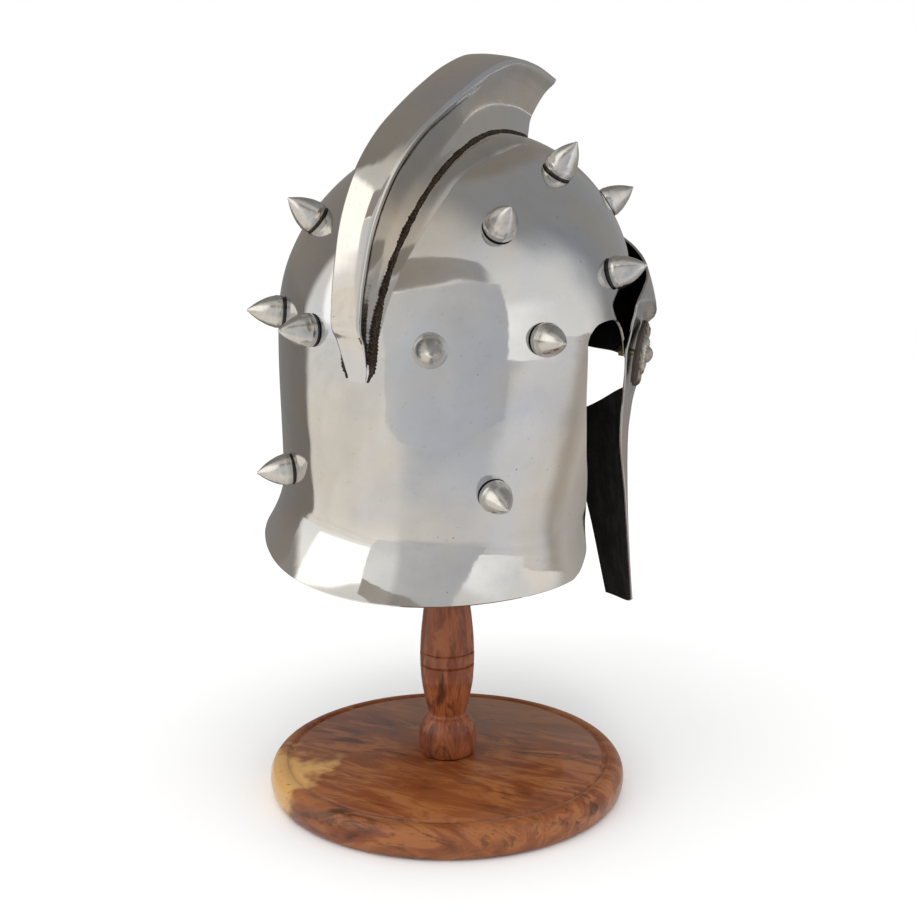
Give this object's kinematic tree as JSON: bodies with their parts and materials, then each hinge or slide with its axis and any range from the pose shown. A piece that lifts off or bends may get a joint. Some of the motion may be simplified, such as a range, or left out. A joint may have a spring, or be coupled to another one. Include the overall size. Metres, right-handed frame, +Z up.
{
  "type": "gladiator helmet on wooden stand",
  "caption": "Polished steel gladiator helmet with a raised comb, cone spikes, flared neck guard and open face plate, resting on a turned wooden stand with a round base.",
  "frame": {"origin": "centre of the base's underside, on the surface that the stand rests on", "axes": "+Z up the stand's post; -Y the way the helmet faces; +X towards the wearer's left"},
  "size_m": [0.2692, 0.3147, 0.4457],
  "materials": {
    "polished_steel": "polished sheet steel, mirror bright with hammer waviness",
    "comb_steel": "polished sheet steel",
    "plate_steel": "satin sheet steel, painted black on its inner side",
    "spike_steel": "turned and polished",
    "cast_nickel": "antique cast finish, dark in the hollows",
    "old_brass": "dull",
    "base_wood": "varnished hardwood",
    "post_wood": "varnished hardwood"
  },
  "bodies": {
    "root": {"skull": "polished_steel", "neck_guard": "polished_steel", "comb": "comb_steel", "face_plate": "plate_steel", "rosette_left": "cast_nickel", "rosette_right": "cast_nickel", "rosette_bolt_left": "old_brass", "rosette_bolt_right": "old_brass", "spike_01": "spike_steel", "spike_02": "spike_steel", "spike_03": "spike_steel", "spike_04": "spike_steel", "spike_05": "spike_steel", "spike_06": "spike_steel", "spike_07": "spike_steel", "spike_08": "spike_steel", "spike_09": "spike_steel", "spike_10": "spike_steel", "spike_11": "spike_steel", "spike_12": "spike_steel", "spike_13": "spike_steel", "spike_14": "spike_steel", "stand_base": "base_wood", "stand_post": "post_wood"}
  },
  "joints": []
}
